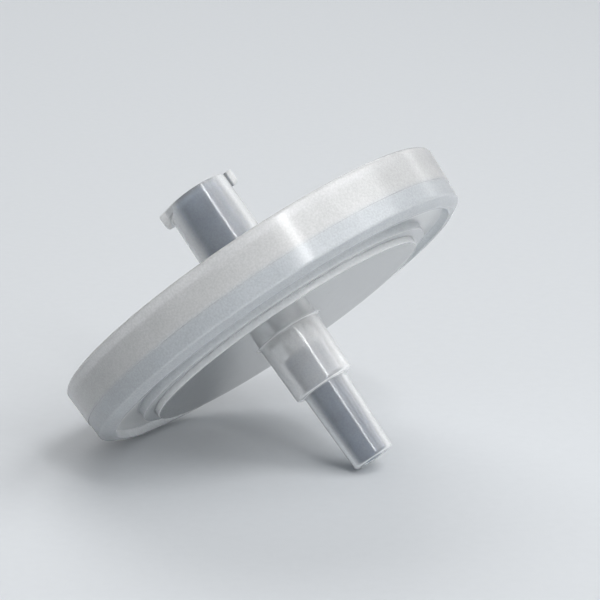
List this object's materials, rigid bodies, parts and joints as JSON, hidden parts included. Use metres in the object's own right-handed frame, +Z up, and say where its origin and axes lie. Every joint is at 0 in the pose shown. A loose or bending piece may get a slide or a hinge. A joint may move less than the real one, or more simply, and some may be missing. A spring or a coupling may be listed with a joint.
{
  "type": "syringe filter",
  "caption": "Disc syringe filter with an over-moulded rim, a lugged female luer-lock inlet and a male luer-slip outlet, lying on its rim and outlet.",
  "frame": {"origin": "on the bench, below the middle of the filter's outline", "axes": "+Z up; the filter's axis lies in the XZ plane, its outlet pointing to +X and down and its inlet to -X and up; +Y is across the rim's full diameter"},
  "size_m": [0.0328, 0.0394, 0.0293],
  "materials": {
    "inlet_housing": "translucent natural polypropylene, smooth",
    "outlet_housing": "translucent natural polypropylene, smooth",
    "membrane": "white microporous film",
    "overmould_ring": "milky translucent polypropylene, satin"
  },
  "bodies": {
    "root": {"inlet_housing": "inlet_housing", "outlet_housing": "outlet_housing", "membrane": "membrane", "overmould_ring": "overmould_ring"}
  },
  "joints": []
}
